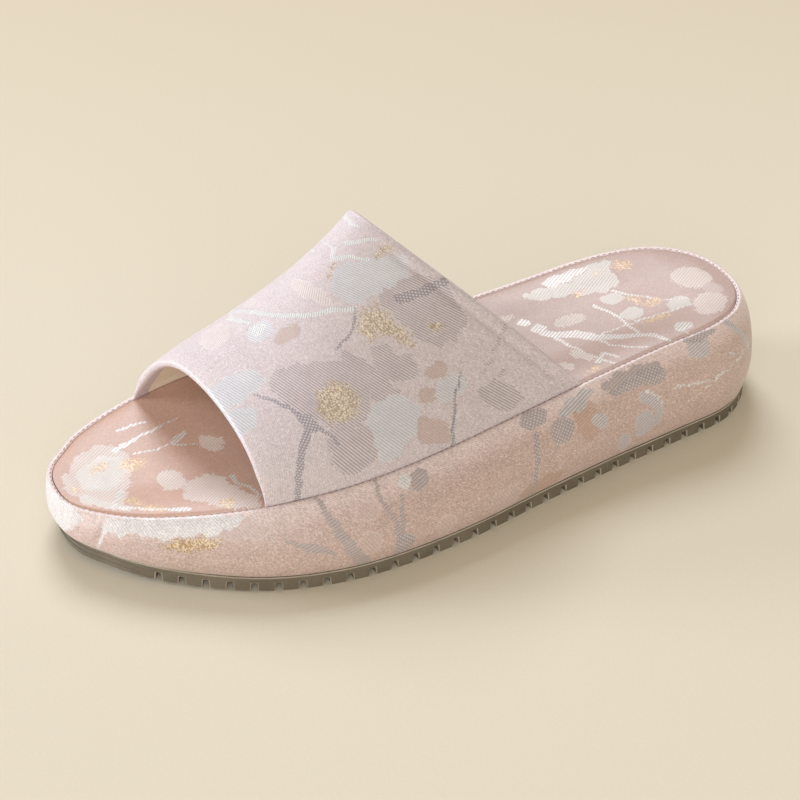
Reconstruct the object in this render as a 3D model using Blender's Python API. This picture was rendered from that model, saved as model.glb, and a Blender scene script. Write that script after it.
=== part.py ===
"""Platform slide sandal for the left foot: outsole, wrapped platform, insole and one-piece upper.

Units are metres with +Z up. The toe points to -Y, the outer side of the foot to +X, and the sandal
stands on z = 0 with the origin under the middle of its box.
"""

import math
from collections import namedtuple

import bmesh
import bpy
from mathutils import Vector

MM = 0.001

# Driving dimensions of the sole
LENGTH = 266 * MM  # heel tip to toe tip, at the platform's widest line
HEEL_SEAM_INSET = 8.2 * MM  # the seam lies this far inside the heel tip
TOE_SEAM_INSET = 2.4 * MM  # and this far inside the toe tip
END_ROUNDNESS = 0.80  # 1 gives elliptic ends, less gives blunter ones
RING_POINTS = 112  # points round every outline of the sole
FIT_GAP = 0.3 * MM  # between pieces that meet

# Half-breadths in mm from the line through heel tip and toe tip: the widest line of the platform,
# the seam between platform and insole, and the seam's height over the floor.
Station = namedtuple("Station", "along outer inner seam_outer seam_inner seam_height")
STATIONS = (
    Station(0.030, 22.6, 21.6, 21.2, 20.4, 41.6),
    Station(0.070, 31.6, 30.2, 27.6, 26.8, 41.6),
    Station(0.160, 37.8, 36.4, 31.4, 30.6, 40.2),
    Station(0.265, 43.0, 36.4, 34.4, 30.5, 37.4),
    Station(0.385, 50.0, 36.4, 39.6, 30.4, 34.8),
    Station(0.507, 58.0, 38.4, 45.9, 32.4, 33.2),
    Station(0.628, 62.4, 41.6, 50.0, 35.6, 31.6),
    Station(0.700, 62.0, 43.0, 49.8, 36.7, 30.5),
    Station(0.797, 55.6, 41.6, 44.6, 35.9, 28.0),
    Station(0.895, 41.0, 34.4, 33.0, 29.8, 24.9),
    Station(0.943, 30.4, 27.0, 24.8, 23.6, 23.7),
    Station(0.977, 19.4, 17.8, 16.0, 15.6, 22.9),
)

# Platform side, from the floor up: share of the side's height, share of the way from the widest line
# in to the seam's crest, and how far the wrap tucks in under the widest line
SideLevel = namedtuple("SideLevel", "rise to_crest tuck")
SIDE_LEVELS = (
    SideLevel(0.00, 0.00, 2.4 * MM),
    SideLevel(0.05, 0.00, 1.3 * MM),
    SideLevel(0.15, 0.00, 0.4 * MM),
    SideLevel(0.30, 0.00, 0.0 * MM),
    SideLevel(0.52, 0.10, 0.0 * MM),
    SideLevel(0.72, 0.32, 0.0 * MM),
    SideLevel(0.88, 0.63, 0.0 * MM),
    SideLevel(0.97, 0.88, 0.0 * MM),
    SideLevel(1.00, 1.00, 0.0 * MM),
)
TOE_TUCK = 0.5  # the tuck grows by this factor towards the toe tip
TOE_TUCK_START = 0.80
CREST_WIDTH = 1.6 * MM  # from the crest in to the seam
CREST_DROP = 1.6 * MM  # the seam lies this far under the crest

# Outsole
OUTSOLE_BAND = 2.3 * MM
LUG_HEIGHT = 3.1 * MM
OUTSOLE_INSET = 2.0 * MM  # inside the platform's widest line
TOE_SPRING = 3.0 * MM
TOE_SPRING_START = 0.70
LUG_PITCH = 8.0 * MM
LUG_GAP_TOP = 1.9 * MM
LUG_GAP_FOOT = 2.6 * MM
LUG_GAP_DEPTH = 7.0 * MM
LUGS_END_AT = 0.915  # past this share of the length the toe edge is plain
TREAD_GROOVE_WIDTH = 2.2 * MM
TREAD_GROOVE_DEPTH = 1.5 * MM
TREAD_GROOVE_PITCH = 16.8 * MM
TREAD_EDGE = 13.0 * MM  # plain border between the grooves and the outsole's edge
TREAD_FROM, TREAD_TO = 0.10, 0.84
CUT_BELOW = 4.0 * MM  # the cutting blocks start this far under the outsole

# Insole
INSOLE_THICKNESS = 4.2 * MM
INSOLE_CROWN = 1.4 * MM  # the padded edge stands this far over the crest
INSOLE_DISH = 2.6 * MM  # and the middle lies this far under the padded edge
CROWN_IN_FROM_EDGE = (0.0, 0.14)  # share of the half breadth over which the padded edge rises
DISH_IN_FROM_EDGE = (0.10, 0.75)  # and over which the dish falls
CROWN_FROM_TIP = (0.15, 0.70)  # share of the full breadth at which edge and dish begin and are full,
DISH_FROM_TIP = (0.35, 0.85)  # near the heel tip and the toe tip

# Upper, from its front edge to its back edge: where it meets the seam on either side, how high the
# arch rises over the line between its two feet, how far the crown leans to the toe, how round the
# arch is (1 elliptic, 0 like a sine wave), and how far the crown lies towards the inner foot
UpperSection = namedtuple(
    "UpperSection", "back_share outer_along inner_along rise toe_lean fullness shift"
)
UPPER_SECTIONS = (
    UpperSection(0.00, 0.778, 0.846, 25.6 * MM, -4.6 * MM, 0.70, 0.085),
    UpperSection(0.25, 0.660, 0.722, 33.2 * MM, 8.2 * MM, 0.64, 0.075),
    UpperSection(0.50, 0.542, 0.599, 42.4 * MM, 24.6 * MM, 0.58, 0.065),
    UpperSection(0.75, 0.424, 0.475, 52.2 * MM, 42.0 * MM, 0.53, 0.060),
    UpperSection(1.00, 0.306, 0.352, 61.8 * MM, 59.6 * MM, 0.50, 0.060),
)
UPPER_WALL = 3.2 * MM
UPPER_FOOT_WALL = 0.8 * MM  # flat cloth where it runs into the seam
UPPER_FOOT_RUN = 0.14  # share of the arch over which the padding thins towards each foot
UPPER_ROWS = 10  # from the front edge to the back edge
UPPER_COLUMNS = 44  # over the arch
EDGE_STEPS = 3  # round the front and back edges
TANGENT_STEP = 0.004  # share of the upper's length and arch used to find its directions
BREADTH_STEPS = 400  # places along the sole where the greatest breadth is looked for


def clamp(value, low, high):
    return max(low, min(high, value))


def smooth_step(low, high, value):
    t = clamp((value - low) / (high - low), 0.0, 1.0)
    return t * t * (3 - 2 * t)


def smooth_through(rows, along, end_slope=0.0):
    """Value at `along` of a smooth curve through rows of (along, value).

    The curve levels off at its ends, or with end_slope 1 runs straight out of them.
    """
    along = clamp(along, rows[0][0], rows[-1][0])
    after = next(i for i in range(1, len(rows)) if along <= rows[i][0])
    (x0, y0), (x1, y1) = rows[after - 1], rows[after]

    def slope(i):
        if i in (0, len(rows) - 1):
            return end_slope * (y1 - y0) / (x1 - x0)
        return (rows[i + 1][1] - rows[i - 1][1]) / (rows[i + 1][0] - rows[i - 1][0])

    span = x1 - x0
    t = (along - x0) / span
    return (
        y0 * (1 + 2 * t) * (1 - t) ** 2
        + y1 * t * t * (3 - 2 * t)
        + slope(after - 1) * span * t * (1 - t) ** 2
        - slope(after) * span * t * t * (1 - t)
    )


def round_end(along):
    return (2 * math.sqrt(max(along * (1 - along), 0.0))) ** END_ROUNDNESS


def fullness_rows(column):
    return [(row.along, getattr(row, column) * MM / round_end(row.along)) for row in STATIONS]


FULLNESS = {name: fullness_rows(name) for name in ("outer", "inner", "seam_outer", "seam_inner")}
SEAM_HEIGHTS = [(row.along, row.seam_height * MM) for row in STATIONS]


def half_breadth(column, along):
    return smooth_through(FULLNESS[column], along) * round_end(along)


def middle_offset():
    """Distance from the line through the tips to the middle of the widest outline."""
    steps = [i / BREADTH_STEPS for i in range(BREADTH_STEPS + 1)]
    outer = max(half_breadth("outer", a) for a in steps)
    inner = max(half_breadth("inner", a) for a in steps)
    return (outer - inner) / 2


MIDDLE_OFFSET = middle_offset()


def along_at(theta):
    """Share of the length from the heel tip, for an angle round the outline."""
    return (1 - math.cos(theta)) / 2


def theta_at(along, side):
    """Angle round the outline of a share of the length, on side 1 (outer) or -1 (inner)."""
    theta = math.acos(clamp(1 - 2 * along, -1.0, 1.0))
    return theta if side > 0 else 2 * math.pi - theta


def plan_point(theta, outer, inner, heel_y, toe_y):
    along = along_at(theta)
    side = 1 if math.sin(theta) >= 0 else -1
    x = side * half_breadth(outer if side > 0 else inner, along) - MIDDLE_OFFSET
    return Vector((x, heel_y + (toe_y - heel_y) * along, 0))


def girth_point(theta):
    return plan_point(theta, "outer", "inner", LENGTH / 2, -LENGTH / 2)


def seam_point(theta):
    heel_y, toe_y = LENGTH / 2 - HEEL_SEAM_INSET, -LENGTH / 2 + TOE_SEAM_INSET
    return plan_point(theta, "seam_outer", "seam_inner", heel_y, toe_y)


def toe_lift(along):
    """Toe spring: height of the outsole's underside over the floor."""
    share = max(along - TOE_SPRING_START, 0.0) / (1 - TOE_SPRING_START)
    return TOE_SPRING * share * share


def platform_foot(along):
    return toe_lift(along) + LUG_HEIGHT + OUTSOLE_BAND + FIT_GAP


def seam_height(along):
    return smooth_through(SEAM_HEIGHTS, along)


THETAS = [2 * math.pi * k / RING_POINTS for k in range(RING_POINTS)]
ALONGS = [along_at(theta) for theta in THETAS]


def inset_ring(points, distances):
    """Moves each point of a closed ring inward in plan by its own distance."""
    count = len(points)
    moved = []
    for k, point in enumerate(points):
        tangent = points[(k + 1) % count] - points[k - 1]
        inward = Vector((tangent.y, -tangent.x, 0)).normalized()
        if inward.dot(Vector((-MIDDLE_OFFSET, 0, 0)) - point.to_2d().to_3d()) < 0:
            inward = -inward
        moved.append(point + inward * distances[k])
    return moved


def at_heights(points, height_of):
    return [Vector((p.x, p.y, height_of(along))) for p, along in zip(points, ALONGS)]


GIRTH = [girth_point(theta) for theta in THETAS]
SEAM = [seam_point(theta) for theta in THETAS]
CREST = inset_ring(SEAM, [-CREST_WIDTH] * RING_POINTS)


def tuck_scale(along):
    return 1 + TOE_TUCK * smooth_step(TOE_TUCK_START, 1.0, along)


def side_ring(level):
    """One outline of the platform's side."""
    plan = [g.lerp(c, level.to_crest) for g, c in zip(GIRTH, CREST)]
    plan = inset_ring(plan, [level.tuck * tuck_scale(along) for along in ALONGS])

    def height(along):
        foot = platform_foot(along)
        return foot + level.rise * (seam_height(along) - foot)

    return at_heights(plan, height)


def footbed_height(along, across):
    """Top of the insole: a padded edge round a shallow dish. `across` runs 0 to 1 from side to side."""
    edge = 2 * abs(across - 0.5)
    tip = round_end(along)
    crown = INSOLE_CROWN * smooth_step(*CROWN_IN_FROM_EDGE, 1 - edge) * smooth_step(*CROWN_FROM_TIP, tip)
    dish = INSOLE_DISH * smooth_step(*DISH_IN_FROM_EDGE, 1 - edge) * smooth_step(*DISH_FROM_TIP, tip)
    return seam_height(along) + crown - dish


def add_ring(mesh, points):
    return [mesh.verts.new(p) for p in points]


def bridge(mesh, lower, upper):
    count = len(lower)
    for k in range(count):
        n = (k + 1) % count
        mesh.faces.new((lower[k], lower[n], upper[n], upper[k]))


def deck(mesh, ring, columns, height_of):
    """Closes a ring with rungs from the outer to the inner side, at heights from the given function."""
    half = len(ring) // 2
    rungs = []
    for k in range(1, half):
        outer, inner = ring[k], ring[-k]
        rung = [outer]
        for across in columns:
            place = outer.co.lerp(inner.co, across)
            place.z = height_of(ALONGS[k], across)
            rung.append(mesh.verts.new(place))
        rungs.append(rung + [inner])
    for before, after in zip(rungs, rungs[1:]):
        for c in range(len(before) - 1):
            mesh.faces.new((before[c], before[c + 1], after[c + 1]))
            mesh.faces.new((before[c], after[c + 1], after[c]))
    for tip, rung in ((ring[0], rungs[0]), (ring[half], rungs[-1])):
        for c in range(len(rung) - 1):
            mesh.faces.new((tip, rung[c], rung[c + 1]))


def make_material(name, color, roughness):
    material = bpy.data.materials.new(name)
    material.use_nodes = True
    shader = material.node_tree.nodes["Principled BSDF"]
    shader.inputs["Base Color"].default_value = (*color, 1.0)
    shader.inputs["Roughness"].default_value = roughness
    shader.inputs["Metallic"].default_value = 0.0
    material.diffuse_color = (*color, 1.0)
    return material


def make_object(name, mesh, material, parent=None, smooth_angle=40):
    bmesh.ops.recalc_face_normals(mesh, faces=mesh.faces)
    data = bpy.data.meshes.new(name)
    mesh.to_mesh(data)
    mesh.free()
    data.shade_smooth()
    data.set_sharp_from_angle(angle=math.radians(smooth_angle))
    if material:
        data.materials.append(material)
    obj = bpy.data.objects.new(name, data)
    obj.parent = parent
    bpy.context.scene.collection.objects.link(obj)
    return obj


FOOTBED_COLUMNS = (0.035, 0.08, 0.16, 0.28, 0.40, 0.50, 0.60, 0.72, 0.84, 0.92, 0.965)
PLAIN_COLUMNS = (0.25, 0.50, 0.75)


def make_platform(material, parent):
    """Thick midsole in its cloth wrap, with the bed that the insole lies in."""
    mesh = bmesh.new()
    rings = [add_ring(mesh, side_ring(level)) for level in SIDE_LEVELS]
    rings.append(add_ring(mesh, at_heights(SEAM, lambda a: seam_height(a) - CREST_DROP)))
    bed_depth = INSOLE_THICKNESS + FIT_GAP
    rings.append(add_ring(mesh, at_heights(SEAM, lambda a: seam_height(a) - bed_depth)))
    for lower, upper in zip(rings, rings[1:]):
        bridge(mesh, lower, upper)
    deck(mesh, rings[0], PLAIN_COLUMNS, lambda a, across: platform_foot(a))
    deck(mesh, rings[-1], FOOTBED_COLUMNS, lambda a, across: footbed_height(a, across) - bed_depth)
    return make_object("platform", mesh, material, parent)


def make_insole(material, parent):
    """Cloth-covered pad with a rolled edge, dished for the foot."""
    mesh = bmesh.new()
    edge = inset_ring(SEAM, [FIT_GAP] * RING_POINTS)
    lower = add_ring(mesh, at_heights(edge, lambda a: seam_height(a) - INSOLE_THICKNESS))
    upper = add_ring(mesh, at_heights(edge, lambda a: seam_height(a) - CREST_DROP))
    bridge(mesh, lower, upper)
    deck(mesh, lower, FOOTBED_COLUMNS, lambda a, across: footbed_height(a, across) - INSOLE_THICKNESS)
    deck(mesh, upper, FOOTBED_COLUMNS, footbed_height)
    return make_object("insole", mesh, material, parent)


def upper_value(column, back_share):
    rows = [(row.back_share, getattr(row, column)) for row in UPPER_SECTIONS]
    return smooth_through(rows, back_share, end_slope=1.0)


def upper_foot(back_share, side):
    """Where the upper runs into the seam, from its front edge (0) to its back edge (1)."""
    along = upper_value("outer_along" if side > 0 else "inner_along", back_share)
    theta = theta_at(along, side)
    place = seam_point(theta)
    place.z = seam_height(along) - CREST_DROP / 3
    return place


def upper_point(back_share, arch_share):
    """Middle of the upper's wall: over the arch from the inner foot (0) to the outer foot (1)."""
    inner, outer = upper_foot(back_share, -1), upper_foot(back_share, 1)
    turn = math.pi * arch_share
    share = arch_share - upper_value("shift", back_share) * math.sin(turn) ** 2
    fullness = upper_value("fullness", back_share)
    across = (1 - fullness) * share + fullness * (1 - math.cos(math.pi * share)) / 2
    lift = math.sin(turn)
    crown = Vector((0, -upper_value("toe_lean", back_share), upper_value("rise", back_share)))
    return inner.lerp(outer, across) + crown * lift


def upper_wall(arch_share):
    from_foot = min(arch_share, 1 - arch_share) / UPPER_FOOT_RUN
    return UPPER_FOOT_WALL + (UPPER_WALL - UPPER_FOOT_WALL) * smooth_step(0.0, 1.0, from_foot)


def upper_frame(back_share, arch_share):
    """Place, outward direction and backward direction at a point of the upper's wall."""
    place = upper_point(back_share, arch_share)
    low, high = max(arch_share - TANGENT_STEP, 0.0), min(arch_share + TANGENT_STEP, 1.0)
    over = (upper_point(back_share, high) - upper_point(back_share, low)).normalized()
    front, back = max(back_share - TANGENT_STEP, 0.0), min(back_share + TANGENT_STEP, 1.0)
    rearward = upper_point(back, arch_share) - upper_point(front, arch_share)
    outward = over.cross(rearward).normalized()
    return place, outward, outward.cross(over)


def upper_loop(arch_share):
    """Closed section of the upper's wall from front to back, with rounded edges."""
    half = upper_wall(arch_share) / 2
    frames = [upper_frame(i / UPPER_ROWS, arch_share) for i in range(UPPER_ROWS + 1)]
    loop = [place + outward * half for place, outward, _ in frames]
    for (place, outward, rearward), side in ((frames[-1], 1), (frames[0], -1)):
        if side < 0:
            loop += [p - o * half for p, o, _ in reversed(frames)]
        for step in range(1, EDGE_STEPS + 1):
            turn = math.pi * step / (EDGE_STEPS + 1)
            swing = outward * math.cos(turn) * side + rearward * math.sin(turn) * side
            loop.append(place + swing * half)
    return loop


def make_upper(material, parent):
    """One wide padded band, open at the toe and the heel."""
    mesh = bmesh.new()
    loops = [add_ring(mesh, upper_loop(c / UPPER_COLUMNS)) for c in range(UPPER_COLUMNS + 1)]
    for before, after in zip(loops, loops[1:]):
        bridge(mesh, before, after)
    for end in (loops[0], loops[-1]):
        mesh.faces.new(end)
    return make_object("upper", mesh, material, parent)


def outsole_ring(height_of):
    plan = inset_ring(GIRTH, [OUTSOLE_INSET * tuck_scale(along) for along in ALONGS])
    return at_heights(plan, height_of)


def add_wedge(mesh, centre, inward, width_foot, width_top, reach_out, reach_in, foot_z, top_z):
    """A block with a trapezoid section: `inward` is its length, and it is wider at its foot."""
    side = Vector((-inward.y, inward.x, 0))
    corners = []
    for reach in (-reach_out, reach_in):
        for width, z in ((width_foot, foot_z), (width_top, top_z)):
            for sign in (-1, 1):
                place = centre + inward * reach + side * sign * width / 2
                corners.append(mesh.verts.new((place.x, place.y, z)))
    near_foot, near_foot2, near_top, near_top2, far_foot, far_foot2, far_top, far_top2 = corners
    mesh.faces.new((near_foot, near_foot2, near_top2, near_top))
    mesh.faces.new((far_foot, far_top, far_top2, far_foot2))
    mesh.faces.new((near_foot, far_foot, far_foot2, near_foot2))
    mesh.faces.new((near_top, near_top2, far_top2, far_top))
    mesh.faces.new((near_foot, near_top, far_top, far_foot))
    mesh.faces.new((near_foot2, far_foot2, far_top2, near_top2))


def lug_gap_places():
    """Places on the outsole's edge for the gaps between lugs, a pitch apart round heel and sides."""
    ring = outsole_ring(lambda a: 0.0)
    half = len(ring) // 2
    places = []
    for side in (1, -1):
        walked = LUG_PITCH / 2
        for k in range(half):
            start, end = ring[side * k], ring[side * (k + 1)]
            run = (end - start).length
            tangent = (end - start).normalized()
            inward = Vector((tangent.y, -tangent.x, 0)) * side
            while walked <= run:
                share = walked / run
                along = ALONGS[k] + (ALONGS[k + 1] - ALONGS[k]) * share
                if along < LUGS_END_AT:
                    places.append((start.lerp(end, share), inward, along))
                walked += LUG_PITCH
            walked -= run
    return places


def make_tread_cutter():
    """Gaps between the edge lugs, and the grooves across the middle of the outsole."""
    mesh = bmesh.new()
    for place, inward, along in lug_gap_places():
        foot = toe_lift(along)
        flare = (LUG_GAP_FOOT - LUG_GAP_TOP) / LUG_HEIGHT
        add_wedge(
            mesh,
            place,
            inward,
            LUG_GAP_FOOT + flare * CUT_BELOW,
            LUG_GAP_TOP,
            LUG_GAP_DEPTH,
            LUG_GAP_DEPTH,
            foot - CUT_BELOW,
            foot + LUG_HEIGHT,
        )
    rows = int((TREAD_TO - TREAD_FROM) * LENGTH / TREAD_GROOVE_PITCH)
    for row in range(rows + 1):
        along = TREAD_FROM + row * TREAD_GROOVE_PITCH / LENGTH
        outer = girth_point(theta_at(along, 1)) - Vector((TREAD_EDGE, 0, 0))
        inner = girth_point(theta_at(along, -1)) + Vector((TREAD_EDGE, 0, 0))
        run = (inner - outer).length
        foot = toe_lift(along)
        add_wedge(
            mesh,
            outer,
            Vector((-1, 0, 0)),
            TREAD_GROOVE_WIDTH,
            TREAD_GROOVE_WIDTH,
            0.0,
            run,
            foot - CUT_BELOW,
            foot + TREAD_GROOVE_DEPTH,
        )
    cutter = make_object("tread_cutter", mesh, None)
    cutter.hide_render = True
    cutter.display_type = "WIRE"
    return cutter


def make_outsole(material, parent):
    """Rubber outsole with a plain band over a row of edge lugs, turned up at the toe."""
    mesh = bmesh.new()
    top = LUG_HEIGHT + OUTSOLE_BAND
    lower = add_ring(mesh, outsole_ring(toe_lift))
    upper = add_ring(mesh, outsole_ring(lambda a: toe_lift(a) + top))
    bridge(mesh, lower, upper)
    deck(mesh, lower, PLAIN_COLUMNS, lambda a, across: toe_lift(a))
    deck(mesh, upper, PLAIN_COLUMNS, lambda a, across: toe_lift(a) + top)
    outsole = make_object("outsole", mesh, material, parent, smooth_angle=30)
    cut = outsole.modifiers.new("tread", "BOOLEAN")
    cut.operation = "DIFFERENCE"
    cut.solver = "EXACT"
    cut.object = make_tread_cutter()
    return outsole


def main():
    for old in list(bpy.data.objects):
        bpy.data.objects.remove(old)
    brocade = make_material("brocade", (0.78, 0.63, 0.60), 0.55)
    footbed = make_material("footbed_brocade", (0.76, 0.60, 0.57), 0.50)
    rubber = make_material("outsole_rubber", (0.27, 0.23, 0.18), 0.75)
    sandal = bpy.data.objects.new("sandal", None)
    bpy.context.scene.collection.objects.link(sandal)
    make_outsole(rubber, sandal)
    make_platform(brocade, sandal)
    make_insole(footbed, sandal)
    make_upper(brocade, sandal)


main()
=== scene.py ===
import math

import bmesh
import bpy
import numpy as np
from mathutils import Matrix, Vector


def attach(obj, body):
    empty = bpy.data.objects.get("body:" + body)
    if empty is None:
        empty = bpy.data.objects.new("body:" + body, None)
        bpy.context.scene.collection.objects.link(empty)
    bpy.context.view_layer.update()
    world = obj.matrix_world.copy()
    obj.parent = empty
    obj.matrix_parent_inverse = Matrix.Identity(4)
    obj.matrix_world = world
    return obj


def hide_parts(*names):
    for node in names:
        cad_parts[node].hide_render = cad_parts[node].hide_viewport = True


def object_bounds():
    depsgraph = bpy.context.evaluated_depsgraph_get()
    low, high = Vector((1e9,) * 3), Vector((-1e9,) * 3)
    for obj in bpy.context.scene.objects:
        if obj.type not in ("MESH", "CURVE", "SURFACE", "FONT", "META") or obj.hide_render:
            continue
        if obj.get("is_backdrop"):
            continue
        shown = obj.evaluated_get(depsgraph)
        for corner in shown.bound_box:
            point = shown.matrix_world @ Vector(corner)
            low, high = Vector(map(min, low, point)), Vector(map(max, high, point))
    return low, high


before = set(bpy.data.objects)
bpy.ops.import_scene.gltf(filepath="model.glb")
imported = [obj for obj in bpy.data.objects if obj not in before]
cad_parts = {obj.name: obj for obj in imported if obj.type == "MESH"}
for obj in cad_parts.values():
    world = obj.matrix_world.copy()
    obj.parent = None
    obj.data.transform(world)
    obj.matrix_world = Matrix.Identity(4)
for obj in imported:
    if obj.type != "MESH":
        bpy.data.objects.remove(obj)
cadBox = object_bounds()
mm = 0.001
weld = 0.00001  # points nearer than this, in metres, become one
clothUnit = 100.0  # mm of cloth to one unit of the cloth map
farAway = 50.0  # mm, for cloth with no motif near
print("frame loaded:", sorted(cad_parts))

# sizes in mm; the toe points to -Y, the outer side of the left foot to +X
sole = {
    "length": 266.0,
    "heelSeamInset": 8.2,
    "toeSeamInset": 2.4,
    "endRoundness": 0.80,
    "crestWidth": 1.6,  # from the crest of the wrap in to the seam
    "crestDrop": 0.35,
    "fitGap": 0.3,
    "toeSpring": 3.0,
    "toeSpringStart": 0.70,
    "outsoleHeight": 5.4,
    "toeTuck": 0.5,
    "toeTuckStart": 0.80,
    "ringStart": 1.5 * math.pi,  # the wrap's own join lies at the inner waist
}
# along from the heel, half breadths of the widest line and of the seam, height of the seam
stationNames = ("along", "outer", "inner", "seamOuter", "seamInner", "seamHeight")
stations = np.array([
    (0.030, 22.6, 21.6, 21.2, 20.4, 41.6),
    (0.070, 31.6, 30.2, 27.6, 26.8, 41.6),
    (0.160, 37.8, 36.4, 31.4, 30.6, 40.2),
    (0.265, 43.0, 36.4, 34.4, 30.5, 37.4),
    (0.385, 50.0, 36.4, 39.6, 30.4, 34.8),
    (0.507, 58.0, 38.4, 45.9, 32.4, 33.2),
    (0.628, 62.4, 41.6, 50.0, 35.6, 31.6),
    (0.700, 62.0, 43.0, 49.8, 36.7, 30.5),
    (0.797, 55.6, 41.6, 44.6, 35.9, 28.0),
    (0.895, 41.0, 34.4, 33.0, 29.8, 24.9),
    (0.943, 30.4, 27.0, 24.8, 23.6, 23.7),
    (0.977, 19.4, 17.8, 16.0, 15.6, 22.9),
])
station = {name: stations[:, i] for i, name in enumerate(stationNames)}


def smoothStep(low, high, value):
    t = np.clip((value - low) / (high - low), 0.0, 1.0)
    return t * t * (3 - 2 * t)


def smoothThrough(xs, ys, x, endSlope=0.0):
    # smooth curve through the rows; it levels off at its ends, or runs straight out of them
    xs, ys = np.asarray(xs, float), np.asarray(ys, float)
    x = np.clip(x, xs[0], xs[-1])
    slope = np.empty_like(ys)
    slope[1:-1] = (ys[2:] - ys[:-2]) / (xs[2:] - xs[:-2])
    slope[0] = endSlope * (ys[1] - ys[0]) / (xs[1] - xs[0])
    slope[-1] = endSlope * (ys[-1] - ys[-2]) / (xs[-1] - xs[-2])
    i = np.clip(np.searchsorted(xs, x), 1, len(xs) - 1)
    span = xs[i] - xs[i - 1]
    t = (x - xs[i - 1]) / span
    start = ys[i - 1] * (1 + 2 * t) * (1 - t) ** 2 + slope[i - 1] * span * t * (1 - t) ** 2
    return start + ys[i] * t * t * (3 - 2 * t) - slope[i] * span * t * t * (1 - t)


def roundEnd(along):
    return (2 * np.sqrt(np.clip(along * (1 - along), 0, None))) ** sole["endRoundness"]


def halfBreadth(name, along):
    fullness = station[name] / roundEnd(station["along"])
    return smoothThrough(station["along"], fullness, along) * roundEnd(along)


def seamHeight(along):
    return smoothThrough(station["along"], station["seamHeight"], along)


evenAlong = np.linspace(0, 1, 401)
middleOffset = (halfBreadth("outer", evenAlong).max() - halfBreadth("inner", evenAlong).max()) / 2


def alongOf(theta):
    return (1 - np.cos(theta)) / 2


def planRing(theta, outerName, innerName, heelY, toeY):
    along = alongOf(theta)
    outerSide = np.sin(theta) >= 0
    outer, inner = halfBreadth(outerName, along), halfBreadth(innerName, along)
    x = np.where(outerSide, outer, -inner) - middleOffset
    return np.stack([x, heelY + (toeY - heelY) * along], axis=-1)


def girthRing(theta):
    return planRing(theta, "outer", "inner", sole["length"] / 2, -sole["length"] / 2)


def seamRing(theta):
    heelY = sole["length"] / 2 - sole["heelSeamInset"]
    toeY = -sole["length"] / 2 + sole["toeSeamInset"]
    return planRing(theta, "seamOuter", "seamInner", heelY, toeY)


def insetRing(ring, distance):
    # moves a closed ring inward in plan; the ring runs clockwise seen from above
    tangent = np.roll(ring, -1, axis=0) - np.roll(ring, 1, axis=0)
    tangent /= np.linalg.norm(tangent, axis=1, keepdims=True)
    inward = np.stack([tangent[:, 1], -tangent[:, 0]], axis=1)
    return ring + inward * np.broadcast_to(distance, len(ring))[:, None]


def ringAngles(count):
    return sole["ringStart"] + 2 * math.pi * np.arange(count) / count


def toeLift(along):
    share = np.clip(along - sole["toeSpringStart"], 0, None) / (1 - sole["toeSpringStart"])
    return sole["toeSpring"] * share * share


def platformFoot(along):
    return toeLift(along) + sole["outsoleHeight"] + sole["fitGap"]


def tuckScale(along):
    return 1 + sole["toeTuck"] * smoothStep(sole["toeTuckStart"], 1.0, along)


def raised(ring, height):
    return np.column_stack([ring, np.broadcast_to(height, len(ring))])


def spineOf(ring):
    # every point moves to the middle line, where it meets its partner of the other side
    count = len(ring)
    start = int(round(sole["ringStart"] / (2 * math.pi) * count))
    partner = (-(np.arange(count) + start) - start) % count
    return (ring + ring[partner]) / 2


def closedRing(rows):
    # the first column once more, after the last
    return np.concatenate([rows, rows[:, :1]], axis=1)


def bentGrid(rows, closedAlong=True):
    # rows is an array (row, column, xyz) in mm; a flat grid is made and bent into that shape
    rowCount, columnCount = rows.shape[:2]
    columns = columnCount + 1 if closedAlong else columnCount
    bm = bmesh.new()
    bmesh.ops.create_grid(bm, x_segments=columns - 1, y_segments=rowCount - 1, size=1.0)
    rowLayer = bm.verts.layers.int.new("row")
    columnLayer = bm.verts.layers.int.new("column")
    for v in bm.verts:
        column = int(round((v.co.x + 1) / 2 * (columns - 1)))
        row = int(round((v.co.y + 1) / 2 * (rowCount - 1)))
        v[rowLayer], v[columnLayer] = row, column
        v.co = Vector(rows[row, column % columnCount]) * mm
    return bm


def closeEnds(bm):
    bmesh.ops.remove_doubles(bm, verts=bm.verts, dist=weld)
    bmesh.ops.holes_fill(bm, edges=[e for e in bm.edges if e.is_boundary])


def addObject(name, data):
    made = bpy.data.objects.new(name, data)
    bpy.context.scene.collection.objects.link(made)
    return made


def finishPiece(name, bm, materials, nodeName=None):
    bmesh.ops.remove_doubles(bm, verts=bm.verts, dist=weld)
    bmesh.ops.dissolve_degenerate(bm, edges=bm.edges, dist=weld / 10)
    bmesh.ops.recalc_face_normals(bm, faces=bm.faces)
    mesh = bpy.data.meshes.new(name)
    bm.to_mesh(mesh)
    bm.free()
    mesh.shade_smooth()
    for material in materials:
        mesh.materials.append(material)
    piece = addObject(name, mesh)
    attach(piece, "root")
    if nodeName:
        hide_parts(nodeName)
    print(name, "made:", len(mesh.polygons), "faces")
    return piece


# platform: foam midsole in its cloth wrap
platformSide = {
    "columns": 880,
    "sideRows": 50,
    "lipRows": 7,
    "bedDepth": 4.5,
    "bedDish": 1.2,
    "deckShares": (0.04, 0.3, 0.65, 1.0),
    # share of the height, share of the way in to the crest, tuck under the widest line
    "rise": (0.00, 0.05, 0.15, 0.30, 0.52, 0.72, 0.88, 0.97, 1.00),
    "toCrest": (0.00, 0.00, 0.00, 0.00, 0.10, 0.32, 0.63, 0.88, 1.00),
    "tuck": (2.4, 1.3, 0.4, 0.0, 0.0, 0.0, 0.0, 0.0, 0.0),
}


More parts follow.
